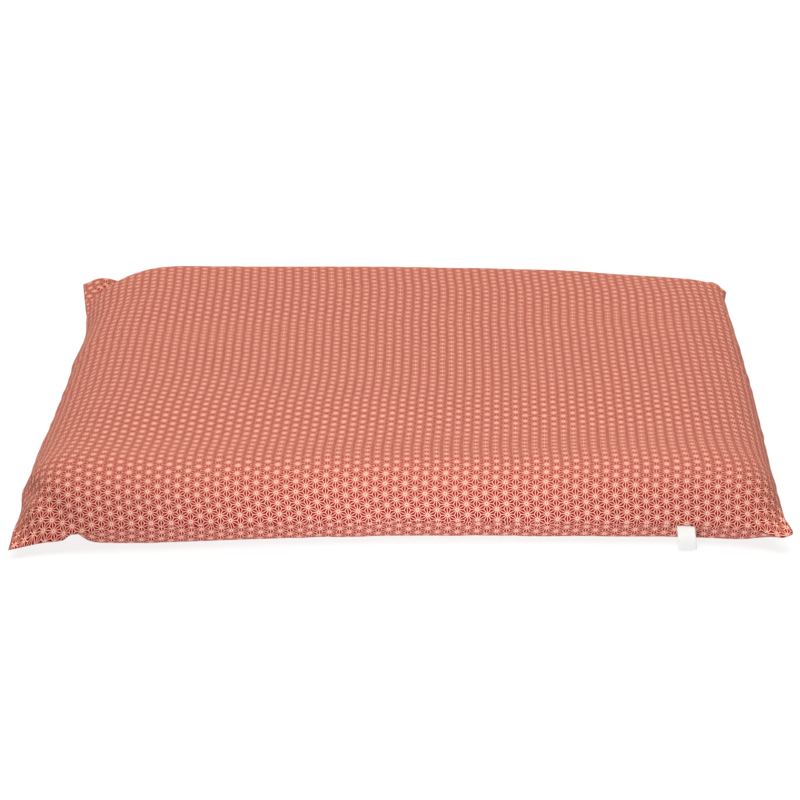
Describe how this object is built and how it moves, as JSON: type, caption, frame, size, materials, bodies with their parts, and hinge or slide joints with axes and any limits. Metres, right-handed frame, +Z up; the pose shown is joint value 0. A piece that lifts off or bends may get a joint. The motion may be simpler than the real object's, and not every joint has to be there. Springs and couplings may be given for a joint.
{
  "type": "zabuton",
  "caption": "Rectangular floor mat of printed cotton, softly filled, with one plain seam round its edge, slack corner ears and a folded tag in the front seam.",
  "frame": {"origin": "on the floor, under the middle of the mat's box", "axes": "+X along the long front edge, to the right as seen from the front; +Y from the front edge to the back edge; +Z up"},
  "size_m": [0.908, 0.699, 0.096],
  "materials": {
    "printed_cotton": "matt plain-weave cotton, cream lines on a crimson ground",
    "woven_tape": "smooth white woven tape"
  },
  "bodies": {
    "root": {"pad": "printed_cotton", "label": "woven_tape"}
  },
  "joints": []
}
